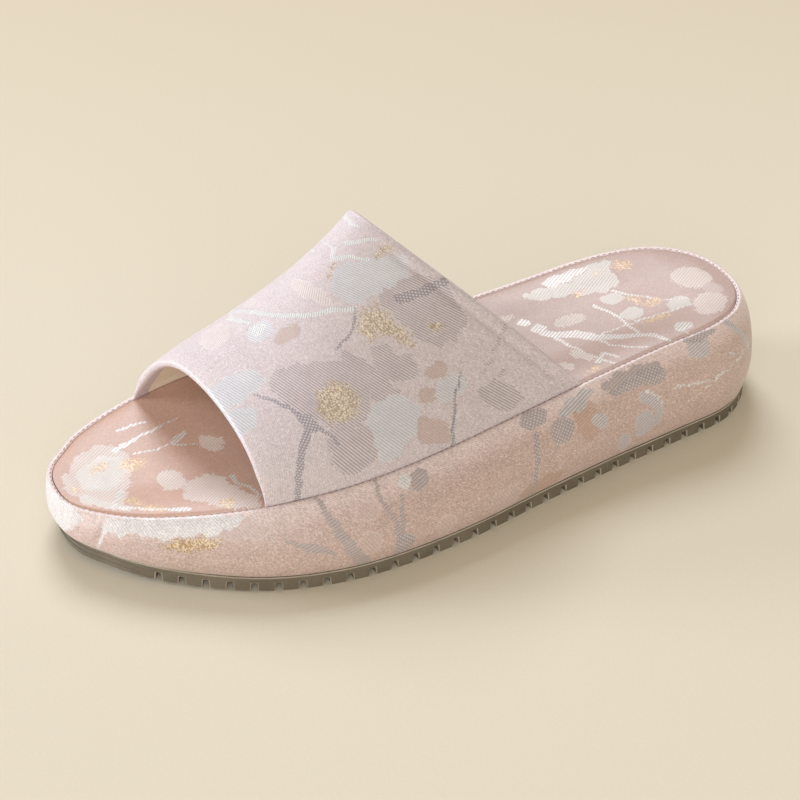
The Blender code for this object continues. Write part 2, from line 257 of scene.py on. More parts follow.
def platformRows():
    p = platformSide
    theta = ringAngles(p["columns"])
    along = alongOf(theta)
    girth, seam = girthRing(theta), seamRing(theta)
    crest = insetRing(seam, -sole["crestWidth"])
    foot, top = platformFoot(along), seamHeight(along)
    levels = np.arange(len(p["rise"]))
    side = []
    for level in np.linspace(0, levels[-1], p["sideRows"]):
        shape = [smoothThrough(levels, p[key], level, 1.0) for key in ("rise", "toCrest", "tuck")]
        rise, toCrest, tuck = shape
        ring = insetRing(girth + (crest - girth) * toCrest, tuck * tuckScale(along))
        side.append(raised(ring, foot + rise * (top - foot)))
    for turn in np.linspace(0, math.pi / 2, p["lipRows"] + 1)[1:]:
        ring = crest + (seam - crest) * math.sin(turn)
        side.append(raised(ring, top - sole["crestDrop"] * (1 - math.cos(turn))))
    footRing = side[0][:, :2]
    footSpine, seamSpine = spineOf(footRing), spineOf(seam)
    under = [raised(footRing + (footSpine - footRing) * share, foot) for share in p["deckShares"]]
    bed = []
    for share in (0.0,) + p["deckShares"]:
        bed.append(raised(seam + (seamSpine - seam) * share, top - p["bedDepth"] - p["bedDish"] * share))
    return np.array(under[::-1] + side + bed), len(under), len(side)


# creases pressed into the wrap: s and t of both ends, width and depth in mm
wrapCreases = [
    (289, 1, 294, 11, 0.9, 0.55), (297, 3, 303, 10, 1.2, 0.3), (306, 1.5, 309, 8, 1, 0.3),
    (314, 2.5, 313, 9, 1.3, 0.3), (321, 1.5, 319, 7, 1, 0.28), (329, 2, 326, 9, 1.2, 0.3),
    (337, 1.5, 334, 8, 1.1, 0.3), (345, 2.5, 341, 9, 1.2, 0.3), (354, 1.5, 350, 8, 1, 0.28),
    (276, 3, 279, 10, 1.3, 0.22), (363, 2.5, 360, 9, 1.3, 0.22), (-30, 2, -27, 13, 1.4, 0.22),
    (-19, 1.5, -18, 10, 1.2, 0.26), (-9, 2, -8, 14, 1.5, 0.24), (1, 1.5, 1, 11, 1.2, 0.26),
    (10, 2, 9, 14, 1.4, 0.24), (20, 1.5, 19, 11, 1.2, 0.26), (31, 2, 28, 13, 1.4, 0.22),
    (150, 12, 118, 20, 4.5, 0.3), (206, 10, 176, 16, 4.5, 0.3), (96, 10, 66, 20, 4.5, 0.3),
    (254, 13, 226, 19, 4, 0.25), (-60, 12, -90, 20, 4.5, 0.3), (404, 10, 434, 16, 4.5, 0.3),
]
creaseEnds = (0.08, 0.92)  # shares of its length between which a crease is deep
ripple = {"depth": 0.10, "rate": 0.11, "swing": 1.3, "swingRate": 0.05, "height": 24}


def pressed(rows, chart, creases):
    # sinks the cloth along each crease and ripples it softly all round
    closed = np.concatenate([rows[:, -1:], rows, rows[:, :1]], axis=1)
    across = closed[:, 2:] - closed[:, :-2]
    outward = np.cross(np.gradient(rows, axis=0), across)
    length = np.linalg.norm(outward, axis=-1, keepdims=True)
    outward = outward / np.maximum(length, 1e-9)
    s, t = chart[:, :-1, 0], chart[:, :-1, 1]
    sink = np.zeros(s.shape)
    for s0, t0, s1, t1, width, depth in creases:
        distance, share = segmentDistance(s, t, (s0, t0), (s1, t1))
        sink += depth * np.exp(-(distance / width) ** 2) * np.sin(np.pi * np.clip(share, *creaseEnds))
    wave = ripple["depth"] * np.sin(ripple["rate"] * s + ripple["swing"] * np.sin(ripple["swingRate"] * s))
    sink += wave * np.sin(np.pi * np.clip(t / ripple["height"], 0, 1))
    return rows - outward * sink[..., None]


def sideChart(rows, firstSide, sideCount):
    # s runs round near the widest line from the heel tip, positive over the outer side
    # t runs down from the crest
    columns = rows.shape[1]
    closed = closedRing(rows)
    girth = closed[firstSide + sideCount // 3]
    s = np.concatenate([[0], np.cumsum(np.linalg.norm(np.diff(girth, axis=0), axis=1))])
    heel = int(round((2 * math.pi - sole["ringStart"]) / (2 * math.pi) * columns))
    s -= s[heel]
    steps = np.linalg.norm(np.diff(closed, axis=0), axis=2)
    t = np.concatenate([np.zeros((1, columns + 1)), np.cumsum(steps, axis=0)])
    crest = firstSide + platformSide["sideRows"] - 1
    t = t[crest] - t
    return np.stack([np.broadcast_to(s, t.shape), t], axis=-1)


# insole: cloth covered pad, dished, with a rolled edge
insolePad = {
    "columns": 880,
    "topRows": 50,
    "edgeCrowding": 1.35,
    "thickness": 4.2,
    "crown": 0.1,
    "crownRun": (0.0, 0.14),  # shares of the way in from the edge
    "crownTips": (0.15, 0.7),  # and of the roundness at heel and toe
    "dish": 2.6,
    "dishRun": (0.10, 0.75),
    "dishTips": (0.35, 0.85),
    "rimRun": (0.0, 0.05),
    "underShares": (0.1, 0.5, 1.0),
}


def footbedHeight(along, inFromEdge):
    p = insolePad
    tip = roundEnd(along)
    crown = p["crown"] * smoothStep(*p["crownRun"], inFromEdge) * smoothStep(*p["crownTips"], tip)
    dish = p["dish"] * smoothStep(*p["dishRun"], inFromEdge) * smoothStep(*p["dishTips"], tip)
    return seamHeight(along) + crown - dish


def insoleRows():
    p = insolePad
    theta = ringAngles(p["columns"])
    along = alongOf(theta)
    edge = insetRing(seamRing(theta), sole["fitGap"])
    spine = spineOf(edge)
    under = []
    for share in p["underShares"][::-1]:
        under.append(raised(edge + (spine - edge) * share, footbedHeight(along, share) - p["thickness"]))
    low = raised(edge, seamHeight(along) - p["thickness"])
    rim = seamHeight(along) - sole["crestDrop"]
    top = [raised(edge, rim)]
    for row in range(1, p["topRows"] + 1):
        share = (row / p["topRows"]) ** p["edgeCrowding"]
        blend = smoothStep(*p["rimRun"], share)
        height = rim + (footbedHeight(along, share) - rim) * blend
        top.append(raised(edge + (spine - edge) * share, height))
    return np.array(under + [low] + top)


# upper: one padded band on the last, lined inside
upperBand = {
    "columns": 280,
    "outerRows": 170,
    "innerRows": 48,
    "edgeSteps": 7,
    "wall": 3.2,
    "footWall": 0.8,
    "footRun": 0.14,
    "chartWidth": 175.0,  # mm of cloth over the arch
    "chartDepth": 105.0,  # and from the front edge to the back edge
    "backShare": (0.0, 0.25, 0.50, 0.75, 1.0),
    "outerAlong": (0.778, 0.660, 0.542, 0.424, 0.306),
    "innerAlong": (0.846, 0.722, 0.599, 0.475, 0.352),
    "rise": (25.6, 33.2, 42.4, 52.2, 61.8),
    "toeLean": (-4.6, 8.2, 24.6, 42.0, 59.6),
    "fullness": (0.70, 0.64, 0.58, 0.53, 0.50),
    "shift": (0.085, 0.075, 0.065, 0.060, 0.060),
    # soft roll inside the back edge, over the outer side
    "rollAt": 0.962,
    "rollWidth": 0.016,
    "rollDepth": 0.55,
    "rollAndPaintedLightFrom": (0.55, 0.75),
    "rollEnd": (1.0, 0.96),
    "liningInset": (2, 3),  # rows of brocade turned in at the back edge and at the front edge
}


def upperValue(key, back):
    return smoothThrough(upperBand["backShare"], upperBand[key], back, 1.0)


def upperFoot(back, side):
    along = upperValue("outerAlong" if side > 0 else "innerAlong", back)
    theta = np.arccos(np.clip(1 - 2 * along, -1, 1))
    theta = theta if side > 0 else 2 * math.pi - theta
    return raised(seamRing(theta), seamHeight(along) - sole["crestDrop"] / 3)


def upperSurface(back, arch):
    # middle of the wall, as an array (back, arch, xyz)
    inner, outer = upperFoot(back, -1), upperFoot(back, 1)
    turn = math.pi * arch[None, :]
    share = arch[None, :] - upperValue("shift", back)[:, None] * np.sin(turn) ** 2
    full = upperValue("fullness", back)[:, None]
    across = (1 - full) * share + full * (1 - np.cos(math.pi * share)) / 2
    lean, rise = upperValue("toeLean", back), upperValue("rise", back)
    crown = np.stack([np.zeros_like(back), -lean, rise], axis=1)
    chord = inner[:, None] + (outer - inner)[:, None] * across[..., None]
    return chord + crown[:, None] * np.sin(turn)[..., None]


def unit(vectors):
    return vectors / np.linalg.norm(vectors, axis=-1, keepdims=True)


def upperRows():
    p = upperBand
    arch = np.linspace(0, 1, p["columns"] + 1)
    fromFoot = np.minimum(arch, 1 - arch) / p["footRun"]
    wall = p["footWall"] + (p["wall"] - p["footWall"]) * smoothStep(0, 1, fromFoot)
    half = (wall / 2)[None, :, None]

    def frames(rowCount):
        back = np.linspace(0, 1, rowCount)
        place = upperSurface(back, arch)
        over = unit(np.gradient(place, axis=1))
        outward = unit(np.cross(over, np.gradient(place, axis=0)))
        return back, place, outward, np.cross(outward, over)

    backOut, place, outward, rearward = frames(p["outerRows"])
    roll = p["rollDepth"] * np.exp(-((backOut - p["rollAt"]) / p["rollWidth"]) ** 2)
    rollShare = smoothStep(*p["rollAndPaintedLightFrom"], arch) * smoothStep(*p["rollEnd"], arch)
    outer = place + outward * (half - (roll[:, None] * rollShare)[..., None])
    backIn, placeIn, outwardIn, _ = frames(p["innerRows"])
    inner = (placeIn - outwardIn * half)[::-1]
    turns = np.pi * np.arange(1, p["edgeSteps"] + 1) / (p["edgeSteps"] + 1)
    swing = np.cos(turns)[:, None, None], np.sin(turns)[:, None, None]
    rear = place[-1] + (outward[-1] * swing[0] + rearward[-1] * swing[1]) * half
    front = place[0] + (-outward[0] * swing[0] - rearward[0] * swing[1]) * half
    rows = np.concatenate([outer, rear, inner, front, outer[:1]])
    # chart: s from the inner foot to the outer foot, t from the front edge back, folded on round the edges
    step = half[0, :, 0][None, :] * turns[:, None]
    tRear = p["chartDepth"] + step
    tInner = np.broadcast_to((backIn[::-1] * p["chartDepth"])[:, None], inner.shape[:2])
    tOuter = np.broadcast_to((backOut * p["chartDepth"])[:, None], outer.shape[:2])
    t = np.concatenate([tOuter, tRear, tInner, -step[::-1], tOuter[:1]])
    s = np.broadcast_to(arch * p["chartWidth"], t.shape)
    return rows, np.stack([s, t], axis=-1)


# brocade: motifs are charted in mm of cloth, each thread gets a field of distances to its motifs
threadOrder = ("pale", "tan", "mauve", "blue", "silver", "net", "gold")


def paint(red, green, blue):
    return tuple(((c / 255 + 0.055) / 1.055) ** 2.4 for c in (red, green, blue)) + (1.0,)


def ellipseField(s, t, centreS, centreT, halfS, halfT, turn):
    angle = math.radians(turn)
    x = (s - centreS) * math.cos(angle) + (t - centreT) * math.sin(angle)
    y = (t - centreT) * math.cos(angle) - (s - centreS) * math.sin(angle)
    reach = np.hypot(x / halfS, y / halfT) + 1e-6
    slope = np.hypot(x / halfS ** 2, y / halfT ** 2) + 1e-6
    return reach * (reach - 1) / slope


def segmentDistance(s, t, start, end):
    (s0, t0), (s1, t1) = start, end
    ds, dt = s1 - s0, t1 - t0
    share = np.clip(((s - s0) * ds + (t - t0) * dt) / (ds * ds + dt * dt), 0, 1)
    return np.hypot(s - s0 - share * ds, t - t0 - share * dt), share


def strokeField(s, t, startWidth, endWidth, *points):
    best = np.full(s.shape, farAway)
    pieces = len(points) - 1
    for i in range(pieces):
        distance, share = segmentDistance(s, t, points[i], points[i + 1])
        width = startWidth + (endWidth - startWidth) * (i + share) / pieces
        best = np.minimum(best, distance - width / 2)
    return best


def patchField(s, t, *outline):
    points = np.array(outline, float)
    for _ in range(2):  # cuts the corners of the outline
        following = np.roll(points, -1, axis=0)
        first, second = points * 0.75 + following * 0.25, points * 0.25 + following * 0.75
        points = np.stack([first, second], axis=1).reshape(-1, 2)
    best = np.full(s.shape, farAway)
    inside = np.zeros(s.shape, bool)
    for start, end in zip(points, np.roll(points, -1, axis=0)):
        best = np.minimum(best, segmentDistance(s, t, start, end)[0])
        crosses = (start[1] > t) != (end[1] > t)
        rise = end[1] - start[1] if end[1] != start[1] else 1e-9
        inside ^= crosses & (s < start[0] + (t - start[1]) * (end[0] - start[0]) / rise)
    return np.where(inside, -best, best)


blossomShape = {"petals": 5, "heart": 0.3, "petalAt": 0.56, "petalLong": 0.46, "petalWide": 0.41}


def blossom(thread, s, t, reach, turn):
    # petals round a gold heart
    p = blossomShape
    rows = [("petals", "gold", (s, t, p["heart"] * reach, p["heart"] * reach, 0))]
    for petal in range(p["petals"]):
        lean = turn + 360 / p["petals"] * petal
        angle = math.radians(lean)
        centre = s + p["petalAt"] * reach * math.cos(angle), t + p["petalAt"] * reach * math.sin(angle)
        rows.append(("petals", thread, (*centre, p["petalLong"] * reach, p["petalWide"] * reach, lean)))
    return rows


# each kind of motif: its field and how far its outline sways, in mm
motifKinds = {"petals": (ellipseField, 0.35), "strokes": (strokeField, 0.2), "patches": (patchField, 0.6)}
# woven outlines are scalloped and never quite even
# each wave: rate, swing and its rate, then the share of a finer wave and its two rates
scallops = {"s": (0.83, 0.9, 0.31, 0.4, 1.9, 0.7), "t": (0.79, 0.9, 0.37, 0.4, 1.7, -0.9)}


def scallop(along, across, rate, swing, swingRate, fineShare, fineRate, fineSkew):
    wave = np.sin(rate * along + swing * np.sin(swingRate * across))
    return wave + fineShare * np.sin(fineRate * along + fineSkew * across)


def clothFields(chart, motifs):
    s, t = chart[..., 0], chart[..., 1]
    swayS, swayT = scallop(t, s, *scallops["s"]), scallop(s, t, *scallops["t"])
    drawn = []
    for (kind, thread), rows in motifs.items():
        for row in rows:
            drawn += blossom(thread, *row) if kind == "blossoms" else [(kind, thread, row)]
    fields = {thread: np.full(s.shape, farAway) for thread in threadOrder}
    for kind, thread, row in drawn:
        field, sway = motifKinds[kind]
        distance = field(s + sway * swayS, t + sway * swayT, *row)
        fields[thread] = np.minimum(fields[thread], distance)
    return fields


def dress(bm, chart, motifs):
    # chart is an array (row, column, st) in mm of cloth, one column more than a closed ring has
    rowLayer = bm.verts.layers.int["row"]
    columnLayer = bm.verts.layers.int["column"]
    cloth = bm.loops.layers.uv.new("cloth")
    for face in bm.faces:
        for corner in face.loops:
            s, t = chart[corner.vert[rowLayer], corner.vert[columnLayer]]
            corner[cloth].uv = (s / clothUnit, t / clothUnit)
    for thread, field in clothFields(chart, motifs).items():
        layer = bm.verts.layers.float.new(thread)
        for v in bm.verts:
            v[layer] = field[v[rowLayer], v[columnLayer]]


# petals: centre s and t, half sizes, turn; strokes: first and last width, points; patches: outline
# blossoms: centre s and t, reach, turn
upperMotifs = {
    ("petals", "gold"): [
        (139, 35.5, 10, 10.5, 20), (89, 32, 1.5, 5, 0), (98.5, 77, 2.6, 7, 15), (110, 99.5, 3.6, 7, -15),
        (139, 87, 3.2, 4.6, 0),
    ],
    ("petals", "tan"): [
        (154, 64, 3, 3.6, 0), (149, 73, 2.6, 4.8, 0), (166, 56, 6.8, 5.4, 15), (105.5, 40, 3.4, 7, -8),
        (51, 70, 4, 6, 20), (12, 12, 5, 4, 0),
    ],
    ("petals", "mauve"): [(166.5, 82.5, 5.6, 6, -25)],
    ("petals", "blue"): [(156, 72, 3.6, 7, 10), (95, 32, 5.8, 6.4, 0)],
    ("petals", "pale"): [(72, 40, 6, 3.4, 0), (46, 12, 8, 6, 20), (10, 42, 6, 7, 0), (58, 92, 7, 6, 10)],
    ("petals", "silver"): [(94, 32, 3, 3.8, 0)],
    ("strokes", "net"): [
        (3.4, 1.6, (140, 22.5), (150, 15), (160, 11), (175, 8.5)), (5, 3.4, (138.5, 22), (143.5, 23)),
        (1.8, 0.9, (143, 24), (149, 26), (154, 27)),
        (2.2, 1, (139, 22), (131, 19.5), (124, 15.5), (119, 12)),
        (3.6, 2.6, (125, 86), (128, 94), (130.5, 105)),
        (1.3, 0.9, (175, 58), (166, 64), (158, 72), (154, 79)), (1.2, 1, (117, 70), (122, 62), (123, 51)),
        (3, 1.6, (4, 24), (14, 34), (24, 44), (36, 52), (50, 55)), (1.2, 0.9, (24, 44), (22, 54)),
    ],
    ("strokes", "silver"): [
        (3, 2.2, (64, 31), (75, 34.5), (85, 38), (93, 42), (100, 47.5), (107, 55), (112, 64), (117, 70)),
        (3.4, 2, (70, 28), (78, 29), (87, 31.5)),
        (3.2, 1.8, (91.5, 86), (95, 81.5), (101, 88), (108, 92)),
        (2.8, 1.8, (95, 92), (100, 97), (105, 102)), (2.4, 1.2, (70, 79), (80, 79)),
        (2.6, 1.6, (76, 103), (88, 101), (95, 102)), (1.6, 1, (75, 86), (90, 86)),
        (2.6, 1.4, (64, 31), (53, 37), (42, 44)), (2.6, 1.2, (8, 76), (20, 74), (34, 75)),
    ],
    ("strokes", "mauve"): [
        (0.9, 0.7, (150, 105), (154, 94), (158, 84)), (0.9, 0.7, (160, 91), (163, 81)),
    ],
    ("patches", "mauve"): [
        ((115, 22), (118, 18.5), (127, 18.5), (134, 21.5), (141, 25), (147, 29), (150.5, 34), (150.5, 40),
         (147, 45), (140, 47), (134, 47), (130, 50), (126, 46), (121, 40), (118, 33), (115.5, 27)),
        ((144, 29), (148, 25), (156, 22.5), (164, 22), (169.5, 25), (169, 31), (165, 36), (160, 39),
         (152, 41), (150, 34)), ((123, 50), (136, 45), (150, 48), (151, 56), (140, 58), (127, 54)),
        ((133, 57), (146, 58), (147, 70), (139, 70), (138, 67), (131, 68), (131, 62)),
        ((118, 80), (130, 79), (142, 78), (145, 84), (144, 96), (137, 102), (128, 105), (121, 97),
         (117, 88)),
    ],
    ("patches", "blue"): [
        ((148, 40), (155, 39), (163, 36), (170, 36), (171, 41), (166, 46), (164, 51), (160, 56),
         (154, 59), (148, 57), (146, 48)),
        ((105, -4), (119, -4), (119, 8), (118, 18), (113, 20.5), (107, 16), (105, 8)),
        ((119.5, -4), (135, -4), (132, 6), (127, 9.5), (121, 7)),
        ((101, 74), (104, 70), (110, 69), (117, 71), (118, 78), (121, 90), (122, 100), (118, 105),
         (112, 99), (107, 91), (102, 85), (100, 80)),
    ],
    ("patches", "pale"): [
        ((64, 17), (72, 13), (80, 10), (87, 12), (88, 18), (84, 24), (74, 25), (65, 23)),
        ((84, 60), (92, 57), (102, 60), (111, 63), (106, 68), (96, 66), (88, 65)),
    ],
    ("patches", "gold"): [
        ((118, 67), (122, 61), (131, 61), (131, 68), (137, 70), (141, 72), (141, 78), (134, 80),
         (128, 79), (121, 81), (117, 75)),
    ],
    # inner side, out of the camera's sight
    ("blossoms", "blue"): [(28, 88, 14, 10)],
    ("blossoms", "mauve"): [(16, 60, 9, 40), (34, 25, 15, 25)],
}

sideMotifs = {
    ("petals", "gold"): [(259, 9, 10, 2.6, 0), (362, 9, 5, 2.6, 0)],
    ("petals", "silver"): [(183.5, 4, 2.6, 2.6, 0)],
    ("petals", "mauve"): [(178.5, 5, 4, 3.4, 0)],
    ("petals", "net"): [
        (128, 2.4, 6, 3.4, 0), (119, 11, 5, 4.4, 0), (52, 1, 7, 1.8, 0), (188.5, 25, 3.8, 4.6, 0),
    ],
    ("petals", "tan"): [
        (108, 11, 5, 8.5, 0), (130.5, 27.5, 10, 3.6, 0), (424, 8, 5, 4.4, 0), (-64, 24, 5, 4, 0),
    ],
    ("petals", "blue"): [
        (103, 14, 3.6, 3.2, -30), (54.5, 5, 5.2, 4.4, 0), (84, 24, 4.6, 5.6, 20), (93, 27.5, 3, 4.2, 20),
        (352, 8, 9, 4.4, 0),
    ],
    ("petals", "pale"): [
        (147, 25, 7, 5, 0), (172, 24, 4, 4.4, 0), (199.5, 9, 5.4, 3.2, 10), (201, 20, 5, 4.6, 0),
        (436, 22, 7, 5, 0), (-14, 22, 8, 6, 0), (-140, 20, 7, 6, 0),
    ],
    ("strokes", "mauve"): [
        (0.8, 3.4, (212, 20.5), (216, 18), (220, 16)), (3.4, 0.8, (220, 16), (224, 14), (228, 11.5)),
        (5.4, 1.6, (202.5, 29), (206, 22), (210, 14), (212.5, 7), (214, 0)),
        (2.4, 1.2, (190, 21), (191, 14), (194, 7), (193, 0)),
        (2.4, 1.4, (189.5, 22), (188, 14), (186.5, 8)),
    ],
    ("strokes", "net"): [
        (2.6, 1.6, (130, 8), (132, 16), (134, 24), (135.5, 31)),
        (0.9, 0.8, (116, 6), (122, 14), (127, 20)), (2.8, 1.6, (398, 20), (410, 14), (424, 12), (438, 6)),
        (2.8, 1.6, (-10, 14), (-24, 20), (-40, 24), (-58, 20)),
        (2.4, 1.4, (-104, 4), (-116, 16), (-128, 24)),
    ],
    ("strokes", "blue"): [
        (5.4, 3, (82.5, 14), (79, 17), (77, 22), (78, 26)), (3.4, 2.2, (38, 1), (33, 9), (28, 18)),
    ],
    ("strokes", "silver"): [
        (1.6, 1, (81, 12.5), (77.5, 15), (75.5, 20)), (0.9, 0.7, (34, 17), (43, 13)),
        (1, 1.3, (28, 17), (40, 18), (52, 20), (62, 18), (70, 15.5)),
        # the silver stroke from s 286 to 294 on the toe is partly silver thread, partly a painted highlight
        (0.8, 0.7, (50, 20), (58, 23), (64, 24)), (2.2, 1, (286, 1), (291, 6), (294, 14)),
        (2.4, 1.4, (340, 3), (356, 12), (372, 15)),
        (2.2, 1.2, (-62, 8), (-74, 16), (-92, 24), (-108, 22)),
    ],
    ("patches", "pale"): [((230, 7), (237, 2), (243, 0), (251, 0), (251, 8), (242, 9.5), (234, 9.5))],
    ("patches", "silver"): [
        # the silver patch at the toe tip is partly silver thread, partly a painted highlight where the toe
        # faces the light
        ((297, 1), (306, -0.5), (322, -0.5), (328, 4), (324, 11), (314, 13), (304, 10)),
        ((238, 1.5), (246, -0.5), (260, -0.8), (276, -0.8), (290, 0.5), (292, 6), (284, 6.5), (276, 5),
         (268, 7.5), (258, 6), (251, 7), (244, 5)),
    ],
    ("patches", "blue"): [((100, 2), (108, 0.5), (120, 4), (114, 8), (104, 6.5))],
    ("patches", "mauve"): [
        ((99, 3), (93, 1), (86, 1), (79, 1.5), (72, 4), (71, 8), (76, 9), (82, 6), (90, 7), (96, 6.5)),
    ],
    ("patches", "net"): [
        ((96, 6), (90, 5.5), (83, 4.5), (76, 3.5), (71, 6), (72, 10.5), (76, 12), (80, 10), (86, 9),
         (92, 9)),
    ],
    # along the inner side
    ("blossoms", "mauve"): [(391, 12, 12, 10), (-41, 13, 13, 15), (-120, 12, 12, 25)],
    ("blossoms", "blue"): [(452, 13, 12, 40), (-84, 13, 13, 0)],
}

footbedMotifs = {
    ("petals", "gold"): [
        (-5.5, -125, 2.4, 2.4, 0), (-14, -114, 3, 3.6, 20), (-11, -103.5, 4.6, 4.6, 0),
        (27.5, -84, 3.2, 2.6, 30), (-24.5, 73, 2, 3.2, 20), (-31, 95, 3.6, 4, 0), (-31, 84, 1.4, 1.8, 0),
        (-11, 89, 3.6, 2.4, 20), (-6, 94, 2.8, 4.4, 10), (4, 90, 2, 6, 0), (21.5, 53.5, 1.8, 3.6, 0),
    ],
    ("petals", "pale"): [
        (4, -95, 7, 5, 0), (-12.5, 63, 4, 6.4, 0), (-12, 113, 8.4, 7, 30), (6, 110, 9, 6.4, -40),
        (-24.5, 43.5, 2, 3.6, 0), (14, 48, 4.4, 2.6, 0), (10, 56, 6.4, 3, 10), (-20, 4, 8, 7, 0),
    ],
    ("petals", "silver"): [
        (-17, -85, 1.8, 3.6, 20), (15, 93.5, 3.2, 3.6, 0), (-19.5, 48.5, 2, 2.4, 0),
        (-14, 51.5, 2.6, 3.2, -30),
    ],
    ("petals", "blue"): [
        (-16, 82.5, 3.4, 4.8, -20), (-4, 84, 4, 4.4, 0), (-0.5, 101, 4, 5, 20), (-6, 14, 7, 6, 0),
    ],
    ("petals", "tan"): [(-2, 116, 4, 3.6, 0), (14, 12, 5, 6, 0)],
    ("strokes", "gold"): [(4.6, 3, (8, -111), (14, -108), (20, -103))],
    ("strokes", "blue"): [(4, 3, (0, -124), (7, -119.5), (13, -113))],
    ("strokes", "silver"): [
        (1.4, 2, (11, -115.5), (18, -105.5), (24, -96)), (2.6, 1.6, (2, -112), (9, -117)),
        (2.4, 1, (-21, -106), (-24, -96), (-26.5, -82)),
        (1.4, 1, (-16.5, -101), (-15, -94), (-15, -88), (-12, -84), (-10, -80.5)),
        (2.2, 1, (13, -77), (19, -77), (24, -74.5), (32, -73)), (1.6, 1.2, (-30, -102), (-30, -92)),
        (3, 5, (-11, 51), (-7, 55), (-4, 61)), (5, 1.8, (-4, 61), (2, 66), (8, 74), (13, 81), (20, 85)),
        (1.8, 1.2, (-5, 54), (5, 57), (14, 58.5), (22, 62)),
        (1.6, 1, (2, 66), (10, 67), (16, 71), (20, 77)), (1.2, 1, (1.5, 66), (1, 75), (2, 84)),
        (1.6, 1.4, (-16, 75), (-5, 79), (10, 79)), (1.4, 1, (-20, 85), (-14, 90), (-6, 97), (-2, 104)),
        (1.2, 1, (1, 82), (2, 92), (3, 104)), (0.8, 0.8, (17, 92), (21, 93)),
        (2.4, 1.4, (18, 58), (14, 62), (19, 65)), (2.4, 1.4, (26, -10), (14, -4), (0, 0), (-12, -2)),
    ],
    ("strokes", "net"): [
        (2.8, 1.6, (-30, -60), (-18, -52), (-6, -52), (8, -46), (20, -44)),
        (2.2, 1.2, (-16, 34), (-4, 26), (8, 24)),
    ],
    ("patches", "pale"): [
        ((-27, -112), (-22, -122), (-12, -129), (0, -128), (8, -121), (13, -114), (7, -111), (-1, -108),
         (-7, -104), (-15, -102), (-23, -104)),
        ((-17, -77), (-12, -80.5), (-7, -80.5), (-2.5, -77), (-2.5, -72.5), (-7, -71), (-10.5, -74)),
        ((5, -86), (9, -93), (17, -96), (22, -93), (28, -88), (35, -80), (36, -73), (28, -75), (20, -78),
         (10, -79)),
    ],
    ("patches", "blue"): [
        ((-17, -120), (-10, -124), (-3, -122), (0, -116), (-3, -109), (-9, -107), (-14, -104),
         (-19, -108), (-20, -114)),
        ((-34, 54), (-29, 55), (-26, 63), (-25, 70), (-22, 78), (-20, 84), (-23, 91), (-30, 89),
         (-36, 93), (-38, 87), (-34, 80), (-31, 72), (-33, 64)),
    ],
    ("patches", "silver"): [((-38, 64), (-32, 63), (-31, 72), (-34, 80), (-37, 88))],
    # under the band
    ("blossoms", "mauve"): [(-11, -37, 14, 10)],
    ("blossoms", "blue"): [(20, -24, 13, 30)],
}
print("motifs charted")

# shader groups: a number gives a value socket and its default, a word names another kind of socket
socketKinds = {"color": "NodeSocketColor", "vector": "NodeSocketVector"}


def newGroup(name, inputs, outputs):
    tree = bpy.data.node_groups.new(name, "ShaderNodeTree")
    for label, value in inputs.items():
        kind = socketKinds.get(value, "NodeSocketFloat")
        socket = tree.interface.new_socket(label, in_out="INPUT", socket_type=kind)
        if value not in socketKinds:
            socket.default_value = value
    for label, value in outputs.items():
        kind = socketKinds.get(value, "NodeSocketFloat")
        tree.interface.new_socket(label, in_out="OUTPUT", socket_type=kind)
    return tree, tree.nodes.new("NodeGroupInput").outputs, tree.nodes.new("NodeGroupOutput").inputs


def feed(tree, socket, value):
    if isinstance(value, bpy.types.NodeSocket):
        tree.links.new(value, socket)
    else:
        socket.default_value = value


def feedAll(tree, sockets, values):
    for label, value in values.items():
        feed(tree, sockets[label], value)


def calc(tree, operation, *values):
    node = tree.nodes.new("ShaderNodeMath")
    node.operation = operation
    for socket, value in zip(node.inputs, values):
        feed(tree, socket, value)
    return node.outputs[0]


def plus(tree, first, second):
    return calc(tree, "ADD", first, second)


def minus(tree, first, second):
    return calc(tree, "SUBTRACT", first, second)


def times(tree, first, second):
    return calc(tree, "MULTIPLY", first, second)


def mixed(tree, share, low, high):
    return plus(tree, times(tree, low, minus(tree, 1.0, share)), times(tree, high, share))


def remap(tree, value, fromLow, fromHigh, toLow=0.0, toHigh=1.0):
    node = tree.nodes.new("ShaderNodeMapRange")
    node.interpolation_type = "SMOOTHSTEP"
    feedAll(tree, node.inputs, {
        "Value": value, "From Min": fromLow, "From Max": fromHigh, "To Min": toLow, "To Max": toHigh,
    })
    return node.outputs["Result"]


def blendColor(tree, share, low, high):
    node = tree.nodes.new("ShaderNodeMix")
    node.data_type = "RGBA"
    feed(tree, node.inputs["Factor"], share)
    feed(tree, node.inputs[6], low)
    feed(tree, node.inputs[7], high)
    return node.outputs[2]


def vectorMath(tree, operation, vector):
    node = tree.nodes.new("ShaderNodeVectorMath")
    node.operation = operation
    feed(tree, node.inputs[0], vector)
    return node


def scaled(tree, vector, size):
    node = vectorMath(tree, "SCALE", vector)
    feed(tree, node.inputs["Scale"], size)
    return node.outputs[0]


def cellNoise(tree, cloth, cell):
    # one random value for every float of thread
    snap = vectorMath(tree, "SNAP", cloth)
    snap.inputs[1].default_value = (*cell, 1.0)
    noise = tree.nodes.new("ShaderNodeTexWhiteNoise")
    noise.noise_dimensions = "3D"
    feed(tree, noise.inputs["Vector"], snap.outputs[0])
    return noise.outputs["Value"]


def softNoise(tree, vector, scale, detail):
    noise = tree.nodes.new("ShaderNodeTexNoise")
    feedAll(tree, noise.inputs, {"Vector": vector, "Scale": scale, "Detail": detail})
    return noise.outputs["Fac"]


def apart(tree, vector):
    node = tree.nodes.new("ShaderNodeSeparateXYZ")
    feed(tree, node.inputs[0], vector)
    return node.outputs[0], node.outputs[1]


def turned(tree, cloth, turn):
    # places across and along a thread direction
    s, t = apart(tree, cloth)
    cosine, sine = calc(tree, "COSINE", turn), calc(tree, "SINE", turn)
    across = plus(tree, times(tree, s, cosine), times(tree, t, sine))
    return across, minus(tree, times(tree, t, cosine), times(tree, s, sine))


